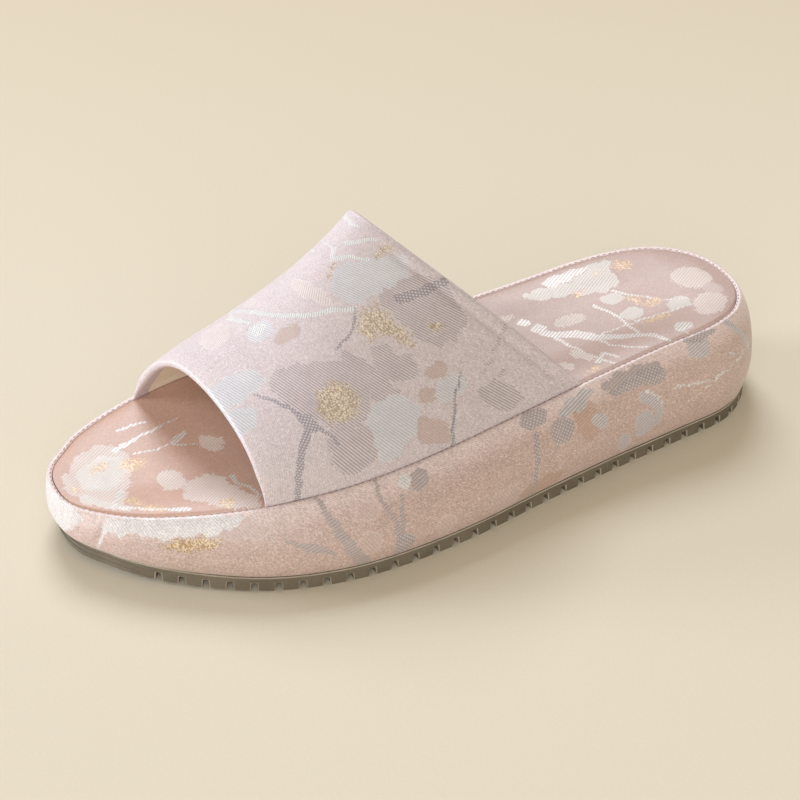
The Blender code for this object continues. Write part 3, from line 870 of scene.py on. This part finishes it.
def lineTurns(tree, place, pitch):
    return calc(tree, "DIVIDE", times(tree, place, 2 * math.pi), pitch)


# cells and pitches in mm of cloth
motifWeave = {
    "edgeCell": (0.95, 0.5),
    "edgeFrom": 0.2,
    "edgeLow": -0.15,
    "floatCell": (0.5, 0.5),
    "floatScale": 1.013,
    "floatSoft": 0.12,
    "lineSoft": 0.45,
    "fleckCell": (0.46, 0.44),
    "fleckFrom": 0.55,
    "cloudScale": 0.16,
    "cloudShare": 0.9,
    "floatShare": 0.35,
    "evenShare": 0.3,
    "rim": (-1.0, -0.35),
    "lineRelief": 0.6,
    "motifRelief": 0.4,
}


def makeMotifGroup():
    w = motifWeave
    inputs = {
        "Under": "color", "Distance": farAway, "Cloth": "vector", "Thread": "color", "Line": "color",
        "Turn": 1.87, "Pitch": 1.05, "Share": 0.5, "Net": 0.0, "Grain": 0.0, "Rim": 0.0,
        "Cover": 1.0, "Fade": 0.2, "Fill": 1.12, "Ragged": 0.8,
    }
    outputs = {"Color": "color", "Mask": 0.0, "Relief": 0.0}
    tree, given, result = newGroup("brocadeMotif", inputs, outputs)
    cloth = given["Cloth"]
    cells = minus(tree, cellNoise(tree, cloth, w["edgeCell"]), 0.5)
    ragged = plus(tree, given["Distance"], times(tree, cells, given["Ragged"]))
    fadeEnd = times(tree, given["Fade"], -1.0)
    inside = remap(tree, ragged, w["edgeFrom"], fadeEnd, w["edgeLow"], given["Fill"])
    floats = cellNoise(tree, scaled(tree, cloth, w["floatScale"]), w["floatCell"])
    shown = remap(tree, minus(tree, inside, floats), -w["floatSoft"], w["floatSoft"])
    mask = times(tree, shown, given["Cover"])
    # fine lines of thread, crossed ones for a net
    across, alongLine = turned(tree, cloth, given["Turn"])
    threshold = minus(tree, 1.0, times(tree, given["Share"], 2.0))

    def lines(place):
        wave = calc(tree, "SINE", lineTurns(tree, place, given["Pitch"]))
        return remap(tree, minus(tree, wave, threshold), -w["lineSoft"], w["lineSoft"])

    first = lines(across)
    crossed = times(tree, first, lines(alongLine))
    drawn = mixed(tree, given["Net"], first, crossed)
    flecks = calc(tree, "GREATER_THAN", cellNoise(tree, cloth, w["fleckCell"]), w["fleckFrom"])
    drawn = mixed(tree, given["Grain"], drawn, flecks)
    clouds = softNoise(tree, cloth, w["cloudScale"], detail=2.0)
    uneven = plus(tree, times(tree, clouds, w["cloudShare"]), times(tree, floats, w["floatShare"]))
    drawn = times(tree, drawn, plus(tree, uneven, w["evenShare"]))
    rim = times(tree, remap(tree, ragged, *w["rim"]), given["Rim"])
    drawn = calc(tree, "MAXIMUM", drawn, rim)
    fill = blendColor(tree, drawn, given["Thread"], given["Line"])
    color = blendColor(tree, mask, given["Under"], fill)
    height = plus(tree, times(tree, drawn, w["lineRelief"]), w["motifRelief"])
    feedAll(tree, result, {"Color": color, "Mask": mask, "Relief": times(tree, mask, height)})
    return tree


satinWeave = {
    "cell": (0.40, 0.55),
    "sparkCell": (0.38, 0.5),
    "sparkScale": 1.037,
    "sparkRange": (0.72, 0.95),
    "lineWander": 1.5,
    "lineShade": 0.22,
    "cloudScale": 0.12,
    "cloudShade": 0.14,
    "lineHeight": 0.25,
    "cellHeight": 0.5,
}


def makeSatinGroup():
    w = satinWeave
    inputs = {"Cloth": "vector", "Grain": 0.3, "Pitch": 0.75, "Turn": 0.0}
    outputs = {"Shade": 0.0, "Spark": 0.0, "Height": 0.0}
    tree, given, result = newGroup("satinWeave", inputs, outputs)
    across, alongLine = turned(tree, given["Cloth"], given["Turn"])
    together = tree.nodes.new("ShaderNodeCombineXYZ")
    feed(tree, together.inputs[0], across)
    feed(tree, together.inputs[1], alongLine)
    floatPlace = together.outputs[0]
    # short floats of thread side by side, some of them marked to be painted paler as glints catching the
    # light
    cells = cellNoise(tree, floatPlace, w["cell"])
    sparks = cellNoise(tree, scaled(tree, floatPlace, w["sparkScale"]), w["sparkCell"])
    wander = times(tree, cells, w["lineWander"])
    line = calc(tree, "SINE", plus(tree, lineTurns(tree, across, given["Pitch"]), wander))
    weave = plus(tree, minus(tree, cells, 0.5), times(tree, line, w["lineShade"]))
    shade = plus(tree, 1.0, times(tree, weave, given["Grain"]))
    clouds = minus(tree, softNoise(tree, given["Cloth"], w["cloudScale"], detail=3.0), 0.5)
    height = plus(tree, times(tree, line, w["lineHeight"]), times(tree, cells, w["cellHeight"]))
    shade = plus(tree, shade, times(tree, clouds, w["cloudShade"]))
    sparks = remap(tree, sparks, *w["sparkRange"])
    feedAll(tree, result, {"Shade": shade, "Spark": sparks, "Height": height})
    return tree


motifGroup = makeMotifGroup()
satinGroup = makeSatinGroup()


def dyed(thread, line, **values):
    # colours of a thread and of its lines, and what differs from the group's own values
    return {"Thread": paint(*thread), "Line": paint(*line), **values}


threads = {
    "pale": dyed((206, 192, 192), (238, 231, 230), Turn=0.6, Pitch=1.1, Rim=0.5, Cover=0.8, Fade=0.6),
    "tan": dyed((188, 166, 160), (210, 190, 184), Pitch=1.0, Grain=0.2, Cover=0.85),
    "mauve": dyed((166, 154, 160), (222, 212, 216), Cover=0.9),
    "blue": dyed((194, 195, 204), (228, 228, 233), Rim=0.25, Cover=0.9, Fade=0.5),
    "silver": dyed(
        (192, 193, 196), (246, 247, 248),
        Turn=0.6, Pitch=1.0, Share=0.62, Grain=0.2, Cover=0.95, Fade=0.4, Ragged=0.5),
    "net": dyed((148, 141, 150), (222, 216, 221), Turn=0.8, Pitch=1.15, Net=1.0, Cover=0.88, Ragged=0.35),
    "gold": dyed(
        (170, 144, 108), (244, 232, 210),
        Turn=1.3, Pitch=1.15, Grain=0.8, Cover=0.8, Fade=4.6, Fill=1.05, Ragged=2.4),
}


def newMaterial(name):
    material = bpy.data.materials.new(name)
    material.use_nodes = True
    return material, material.node_tree, material.node_tree.nodes["Principled BSDF"]


def clothPlace(tree):
    # place on the cloth, back in mm
    uv = tree.nodes.new("ShaderNodeUVMap")
    uv.uv_map = "cloth"
    return scaled(tree, uv.outputs[0], clothUnit)


def addGroup(tree, group, values):
    node = tree.nodes.new("ShaderNodeGroup")
    node.node_tree = group
    feedAll(tree, node.inputs, values)
    return node.outputs


def addBump(tree, shader, height, strength, depth):
    bump = tree.nodes.new("ShaderNodeBump")
    feedAll(tree, bump.inputs, {"Strength": strength, "Distance": depth * mm, "Height": height})
    feed(tree, shader.inputs["Normal"], bump.outputs[0])


# what all brocades share
brocade = {
    "sheenRoughness": 0.45,
    "coverHides": 0.75,  # share of the ground's grain that a motif hides
    "blueShine": 0.6,
    "shineRoughness": 0.08,
    "shineMetal": 0.12,
    "groundRelief": 0.35,
    "depth": 0.25,
}


def brocadeMaterial(name, look):
    material, tree, shader = newMaterial(name)
    cloth = clothPlace(tree)
    # a second ground colour at the low end of t, painted light: paler as a painted highlight along the
    # wrap's crest and the band's front edge, warmer as painted warm bounce light in the shade at the
    # footbed's toe
    roll = remap(tree, apart(tree, cloth)[1], look["rollAndPaintedLightFrom"], look["paintedLightTo"])
    color = blendColor(tree, roll, look["rolled"], look["ground"])
    masks = {}
    relief = cover = 0.0
    for thread in threadOrder:
        field = tree.nodes.new("ShaderNodeAttribute")
        field.attribute_name = thread
        woven = addGroup(tree, motifGroup, {
            "Under": color, "Distance": field.outputs["Fac"], "Cloth": cloth,
            **threads[thread], **look.get(thread, {}),
        })
        color = woven["Color"]
        masks[thread] = woven["Mask"]
        relief = calc(tree, "MAXIMUM", relief, woven["Relief"])
        cover = calc(tree, "MAXIMUM", cover, woven["Mask"])
    plain = minus(tree, 1.0, times(tree, cover, brocade["coverHides"]))
    grain = times(tree, plain, look["grain"])
    satin = addGroup(tree, satinGroup, {"Cloth": cloth, "Grain": grain, "Turn": look["turn"]})
    # painted glints: whitish specks mixed into the colour of the plain ground
    spark = times(tree, times(tree, satin["Spark"], look["spark"]), plain)
    color = blendColor(tree, spark, color, look["paintedGlint"])
    shine = calc(tree, "MAXIMUM", masks["gold"], times(tree, masks["blue"], brocade["blueShine"]))
    shine = calc(tree, "MAXIMUM", masks["silver"], shine)
    smoother = times(tree, shine, brocade["shineRoughness"])
    feedAll(tree, shader.inputs, {
        "Base Color": scaled(tree, color, satin["Shade"]),
        "Roughness": minus(tree, look["roughness"], smoother),
        "Metallic": times(tree, shine, brocade["shineMetal"]),
        "Sheen Weight": look["sheen"],
        "Sheen Roughness": brocade["sheenRoughness"],
        "Specular IOR Level": look["gloss"],
        "IOR": look["ior"],
    })
    height = plus(tree, times(tree, satin["Height"], brocade["groundRelief"]), relief)
    addBump(tree, shader, height, look["bump"], brocade["depth"])
    return material


def linenMaterial(name, look):
    material, tree, shader = newMaterial(name)
    values = {"Cloth": clothPlace(tree), "Grain": look["grain"], "Pitch": look["pitch"]}
    satin = addGroup(tree, satinGroup, values)
    color = scaled(tree, look["color"][:3], satin["Shade"])
    feedAll(tree, shader.inputs, {"Base Color": color, "Roughness": look["roughness"]})
    addBump(tree, shader, satin["Height"], look["bump"], look["depth"])
    return material


mottle = {
    "clouds": (0.3, 0.7), "grain": (0.25, 0.75), "shade": (0.9, 1.1), "roughness": (0.62, 0.78),
    "depth": 0.1,
}


def mottledMaterial(name, look):
    material, tree, shader = newMaterial(name)
    place = tree.nodes.new("ShaderNodeTexCoord").outputs["Object"]
    clouds = softNoise(tree, place, look["cloudScale"], detail=3.0)
    grain = softNoise(tree, place, look["grainScale"], detail=1.0)
    color = blendColor(tree, remap(tree, clouds, *mottle["clouds"]), look["dark"], look["light"])
    shade = remap(tree, grain, *mottle["grain"], *mottle["shade"])
    roughness = remap(tree, clouds, *mottle["clouds"], *mottle["roughness"])
    feedAll(tree, shader.inputs, {"Base Color": scaled(tree, color, shade), "Roughness": roughness})
    addBump(tree, shader, grain, look["bump"], mottle["depth"])
    return material


# the upper's ground is paler and cooler than the wrap's: partly the cloth's own, partly a painted sheen
upperBrocade = brocadeMaterial("upperBrocade", {
    # along the front edge the ground is paler: a painted highlight
    "ground": paint(211, 199, 203), "rolled": paint(217, 204, 207), "rollAndPaintedLightFrom": 0.0, "paintedLightTo": 6.0,
    # the whitish specks are painted glints
    "grain": 0.28, "paintedGlint": paint(240, 235, 238), "spark": 0.4, "turn": 1.45,
    "roughness": 0.52, "sheen": 0.2, "gloss": 0.8, "ior": 1.6, "bump": 0.3,
})
sideBrocade = brocadeMaterial("sideBrocade", {
    # along the crest the ground is paler: a painted highlight
    "ground": paint(203, 177, 169), "rolled": paint(231, 212, 210), "rollAndPaintedLightFrom": 0.6, "paintedLightTo": 11.0,
    # the whitish specks are painted glints
    "grain": 0.38, "paintedGlint": paint(234, 220, 219), "spark": 0.42, "turn": 0.9,
    "roughness": 0.48, "sheen": 0.3, "gloss": 0.9, "ior": 1.58, "bump": 0.35,
    "mauve": dyed((164, 152, 152), (196, 183, 183), Cover=0.85),
    "pale": dyed((206, 183, 178), (230, 214, 210), Cover=0.6, Rim=0.9, Share=0.12),
    "tan": dyed((182, 148, 128), (208, 180, 164), Cover=0.8),
    "blue": dyed((176, 171, 178), (222, 219, 224), Cover=0.85),
    "net": dyed((158, 151, 155), (222, 216, 219), Cover=0.75, Ragged=0.7),
    "silver": dyed((214, 209, 212), (250, 250, 252), Grain=0.5, Fade=0.5, Ragged=0.9),
    "gold": dyed((180, 140, 88), (240, 222, 182), Grain=1.0, Fade=1.4, Fill=1.05, Cover=0.9),
})
footbedBrocade = brocadeMaterial("footbedBrocade", {
    # towards the toe the ground is warmer: painted warm bounce light in the shade under the band
    "ground": paint(184, 155, 145), "rolled": paint(196, 154, 134), "rollAndPaintedLightFrom": -105.0, "paintedLightTo": -30.0,
    # the whitish specks are painted glints
    "grain": 0.16, "paintedGlint": paint(218, 203, 198), "spark": 0.2, "turn": 0.5,
    "roughness": 0.46, "sheen": 0.2, "gloss": 0.9, "ior": 1.55, "bump": 0.25,
    "blue": dyed((197, 189, 182), (210, 204, 198), Turn=0.6, Rim=0.6),
    "silver": dyed((186, 170, 164), (226, 226, 224), Share=0.52, Pitch=1.2),
    "pale": dyed((205, 186, 178), (226, 215, 209), Fade=1.2, Ragged=1.2, Cover=0.9),
    "gold": dyed((192, 154, 106), (230, 206, 168), Grain=1.0, Fade=1.2, Fill=0.85),
})
lining = linenMaterial("lining", {
    "color": paint(254, 243, 220), "grain": 0.1, "pitch": 0.9, "roughness": 0.75, "bump": 0.4, "depth": 0.2,
})
rubber = mottledMaterial("rubber", {
    "dark": paint(108, 99, 84), "light": paint(126, 117, 101),
    "cloudScale": 60.0, "grainScale": 2600.0, "bump": 0.35,
})
paleEdgeRubber = mottledMaterial("paleEdgeRubber", {
    "dark": paint(172, 163, 144), "light": paint(194, 185, 166),
    "cloudScale": 90.0, "grainScale": 2600.0, "bump": 0.2,
})
stitchThread = mottledMaterial("stitchThread", {
    "dark": paint(138, 114, 106), "light": paint(162, 139, 131),
    "cloudScale": 400.0, "grainScale": 3200.0, "bump": 0.5,
})

rows, underCount, sideCount = platformRows()
chart = sideChart(rows, underCount, sideCount)
sideRange = slice(underCount + 1, underCount + platformSide["sideRows"] - 1)
rows[sideRange] = pressed(rows, chart, wrapCreases)[sideRange]
bm = bentGrid(rows)
dress(bm, chart, sideMotifs)
platformWrap = finishPiece("platformWrap", bm, [sideBrocade], "platform")

rows = insoleRows()
bm = bentGrid(rows)
dress(bm, closedRing(rows)[..., :2], footbedMotifs)
insoleCover = finishPiece("insoleCover", bm, [footbedBrocade], "insole")

rows, chart = upperRows()
bm = bentGrid(rows, closedAlong=False)
dress(bm, chart, upperMotifs)
rowLayer = bm.verts.layers.int["row"]
firstInner = upperBand["outerRows"] + upperBand["edgeSteps"]
liningFrom = firstInner + upperBand["liningInset"][0]
liningTo = firstInner + upperBand["innerRows"] - upperBand["liningInset"][1]
for face in bm.faces:
    middle = sum(v[rowLayer] for v in face.verts) / len(face.verts)
    face.material_index = int(liningFrom < middle < liningTo)
closeEnds(bm)
upperCloth = finishPiece("upperCloth", bm, [upperBrocade, lining], "upper")

# outsole: the solid's own form with its lug edges rounded and coloured pale, and ridges round the toe
outsoleLook = {
    "merge": 0.02,
    "flat": 1.0,
    "sharp": 50.0,
    "edge": 0.32,
    "smooth": 20.0,
    "ridgeFrom": 0.930,
    "ridgeInset": 2.0,
    "ridgePoints": 121,
    "ridgeHeights": (1.7, 3.6),
    "ridgeRadius": 0.45,
    "ridgeSides": 8,
    "ridgeEnd": 0.15,  # share of the radius at the ends, and its growth from point to point
    "ridgeGrowth": 0.25,
}
bm = bmesh.new()
bm.from_mesh(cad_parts["outsole"].data)
bmesh.ops.remove_doubles(bm, verts=bm.verts, dist=outsoleLook["merge"] * mm)
bmesh.ops.dissolve_limit(
    bm, angle_limit=math.radians(outsoleLook["flat"]), verts=bm.verts, edges=bm.edges)
sharpAngle = math.radians(outsoleLook["sharp"])
sharp = [e for e in bm.edges if e.is_manifold and e.calc_face_angle() > sharpAngle]
rounded = bmesh.ops.bevel(
    bm, geom=sharp, offset=outsoleLook["edge"] * mm, offset_type="OFFSET", affect="EDGES",
    segments=1, profile=0.5, material=-1, clamp_overlap=False)
# the rounded lug edges take the pale rubber
for face in rounded["faces"]:
    face.material_index = 1
outsoleRubber = finishPiece("outsoleRubber", bm, [rubber, paleEdgeRubber], "outsole")
outsoleRubber.data.set_sharp_from_angle(angle=math.radians(outsoleLook["smooth"]))


def toeRidge(name, path):
    # a round bead along a line of points in mm, thinned out and closed at both ends
    p = outsoleLook
    ahead = unit(np.gradient(path, axis=0))
    side = unit(np.cross(ahead, (0, 0, 1)))
    rise = np.cross(side, ahead)
    turn = np.linspace(0, 2 * math.pi, p["ridgeSides"], endpoint=False)[None, :, None]
    step = np.arange(len(path))
    share = np.clip(p["ridgeEnd"] + p["ridgeGrowth"] * np.minimum(step, step[::-1]), 0, 1)
    thin = p["ridgeRadius"] * share[:, None, None]
    bm = bentGrid(path[:, None] + (side[:, None] * np.cos(turn) + rise[:, None] * np.sin(turn)) * thin)
    closeEnds(bm)
    finishPiece(name, bm, [rubber])


ridgeStart = math.acos(1 - 2 * outsoleLook["ridgeFrom"])
theta = np.linspace(ridgeStart, 2 * math.pi - ridgeStart, outsoleLook["ridgePoints"])
ridge = insetRing(girthRing(theta), outsoleLook["ridgeInset"] * tuckScale(alongOf(theta)))
theta, ridge = theta[1:-1], ridge[1:-1]
for i, height in enumerate(outsoleLook["ridgeHeights"]):
    toeRidge("toeRidge%d" % (i + 1), raised(ridge, toeLift(alongOf(theta)) + height))

# stitches: short lengths of thread all round the seam
stitchSet = {
    "pitch": 2.3,
    "length": 1.5,
    "radius": 0.17,
    "outward": 0.50,
    "under": 0.16,
    "seamPoints": 1440,
    "lookAhead": 0.5,
}


def seamStitches():
    p = stitchSet
    theta = ringAngles(p["seamPoints"])
    ring = insetRing(seamRing(theta), -p["outward"])
    place = raised(ring, seamHeight(alongOf(theta)) - p["under"])
    closed = np.concatenate([place, place[:1]])
    run = np.concatenate([[0], np.cumsum(np.linalg.norm(np.diff(closed, axis=0), axis=1))])
    count = int(run[-1] / p["pitch"])
    size = Vector((p["radius"], p["radius"], p["length"] / 2)) * mm

    def seamPoint(distance):
        return Vector([np.interp(distance, run, closed[:, i]) for i in range(3)])

    bm = bmesh.new()
    for k in range(count):
        middle = (k + 0.5) * run[-1] / count
        centre = seamPoint(middle)
        direction = seamPoint(middle + p["lookAhead"]) - centre
        made = bmesh.ops.create_uvsphere(bm, u_segments=6, v_segments=5, radius=1.0)["verts"]
        bmesh.ops.scale(bm, verts=made, vec=size)
        bmesh.ops.rotate(bm, verts=made, matrix=direction.to_track_quat("Z", "Y").to_matrix())
        bmesh.ops.translate(bm, verts=made, vec=centre * mm)
    finishPiece("seamStitches", bm, [stitchThread])


seamStitches()

# floor, camera and light
stageSet = {
    "floorSize": 6.0,
    # near and far colours of the paper: painted shade, darker away from the camera where the light falls
    # off
    "near": (0.77, 0.715, 0.585, 1),
    "far": (0.69, 0.605, 0.455, 1),
    "away": (-0.921, 0.388, 0),  # direction in which the paper darkens
    "from": 0.05,
    "to": 0.60,
    "speckScale": 900.0,
    "speck": (0.3, 0.7, 0.99, 1.01),
    "roughness": 0.9,
    "skyColor": (1.0, 0.84, 0.62, 1),
    "skyStrength": 0.38,
    "lightAim": (0, 0, 0.03),
}


def paperMaterial():
    material, tree, shader = newMaterial("paper")
    place = tree.nodes.new("ShaderNodeTexCoord").outputs["Object"]
    away = vectorMath(tree, "DOT_PRODUCT", place)
    away.inputs[1].default_value = stageSet["away"]
    # painted shade: the paper darkens along this direction
    share = remap(tree, away.outputs["Value"], stageSet["from"], stageSet["to"])
    color = blendColor(tree, share, stageSet["near"], stageSet["far"])
    speck = remap(tree, softNoise(tree, place, stageSet["speckScale"], detail=1.0), *stageSet["speck"])
    color = scaled(tree, color, speck)
    feedAll(tree, shader.inputs, {"Base Color": color, "Roughness": stageSet["roughness"]})
    return material


bm = bmesh.new()
bmesh.ops.create_grid(bm, x_segments=1, y_segments=1, size=stageSet["floorSize"] / 2)
mesh = bpy.data.meshes.new("floor")
bm.to_mesh(mesh)
bm.free()
mesh.materials.append(paperMaterial())
floor = addObject("floor", mesh)
floor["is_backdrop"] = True

cameraSet = {
    "azimuth": 65.23,
    "elevation": 34.16,
    "distance": 0.7884,
    "aim": (0.0008, -0.0099, 0.030),
    "lens": 103.0,
    "sensor": 36.0,
}
azimuth, elevation = (math.radians(cameraSet[key]) for key in ("azimuth", "elevation"))
level = math.cos(elevation)
back = Vector((math.sin(azimuth) * level, -math.cos(azimuth) * level, math.sin(elevation)))
cameraData = bpy.data.cameras.new("camera")
cameraData.lens = cameraSet["lens"]
cameraData.sensor_width = cameraSet["sensor"]
camera = addObject("camera", cameraData)
camera.location = Vector(cameraSet["aim"]) + back * cameraSet["distance"]
camera.rotation_euler = back.to_track_quat("Z", "Y").to_euler()
bpy.context.scene.camera = camera

# soft disks: place, size, power, colour
lights = {
    "key": ((-2.02, 0.5, 2.6), 1.7, 59, (0.97, 1.0, 1.08)),
    "left": ((-1.3, -2.4, 0.55), 1.0, 52, (0.92, 0.98, 1.08)),
    "fill": ((2.15, -1.05, 1.2), 2.2, 29, (0.985, 0.985, 1.01)),
}
for name, (place, size, power, color) in lights.items():
    data = bpy.data.lights.new(name, "AREA")
    data.shape = "DISK"
    data.size = size
    data.energy = power
    data.color = color
    light = addObject(name, data)
    light.location = place
    outward = Vector(place) - Vector(stageSet["lightAim"])
    light.rotation_euler = outward.to_track_quat("Z", "Y").to_euler()

bpy.context.scene.view_settings.view_transform = "Standard"
world = bpy.data.worlds.new("studio")
bpy.context.scene.world = world
world.use_nodes = True
sky = {"Color": stageSet["skyColor"], "Strength": stageSet["skyStrength"]}
feedAll(world.node_tree, world.node_tree.nodes["Background"].inputs, sky)
print("stage set")

size = {"cad": [list(corner) for corner in cadBox], "scene": [list(corner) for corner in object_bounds()]}
print("size", size)
